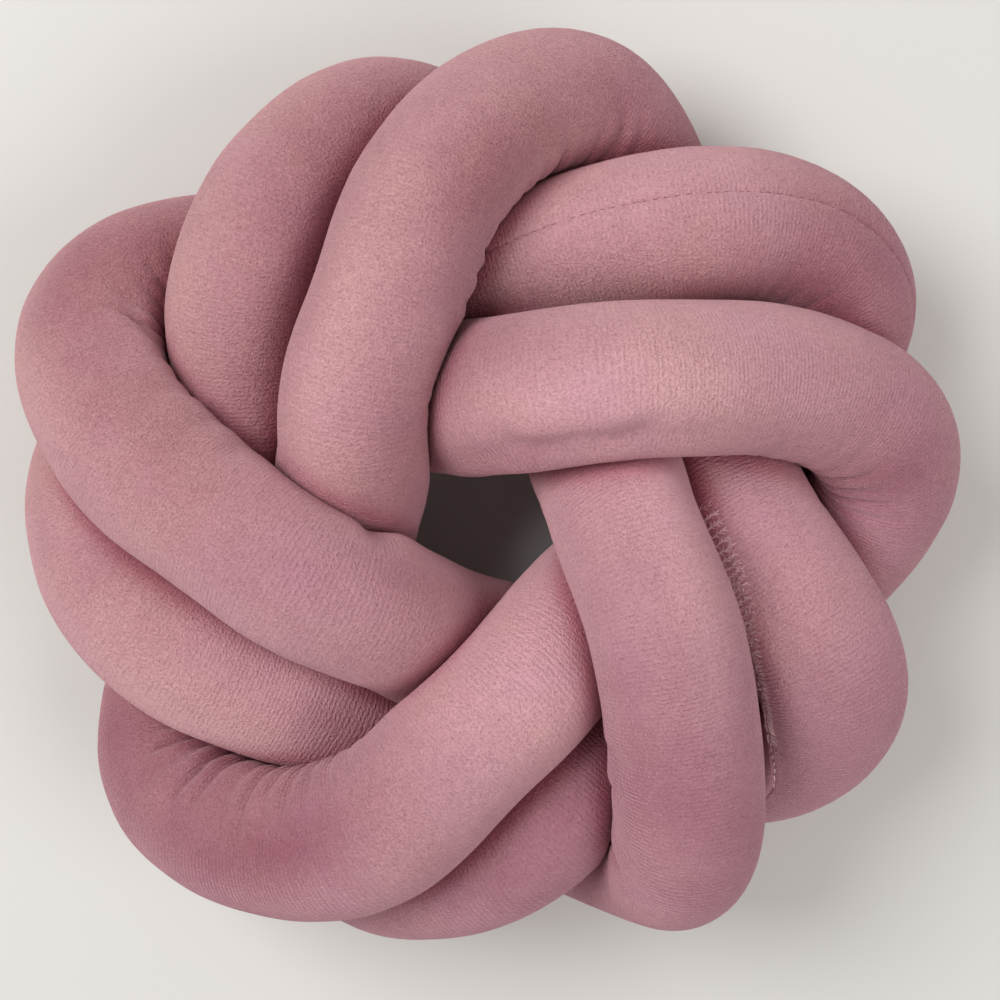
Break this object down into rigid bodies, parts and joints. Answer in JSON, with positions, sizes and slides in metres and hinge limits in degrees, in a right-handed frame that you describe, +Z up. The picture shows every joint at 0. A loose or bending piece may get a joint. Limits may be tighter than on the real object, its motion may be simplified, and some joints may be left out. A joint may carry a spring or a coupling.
{
  "type": "knot cushion",
  "caption": "Ring-shaped knot cushion: a stuffed velvet tube wound over and under itself in pairs round an open centre.",
  "frame": {"origin": "on the resting surface, under the middle of the cushion's box", "axes": "+Z up out of the face of the cushion, +Y towards the top of the face, +X to its right"},
  "size_m": [0.3582, 0.347, 0.1546],
  "materials": {
    "velvet": "short-pile dusty rose velvet"
  },
  "bodies": {
    "root": {"stuffed_tube": "velvet"}
  },
  "joints": []
}
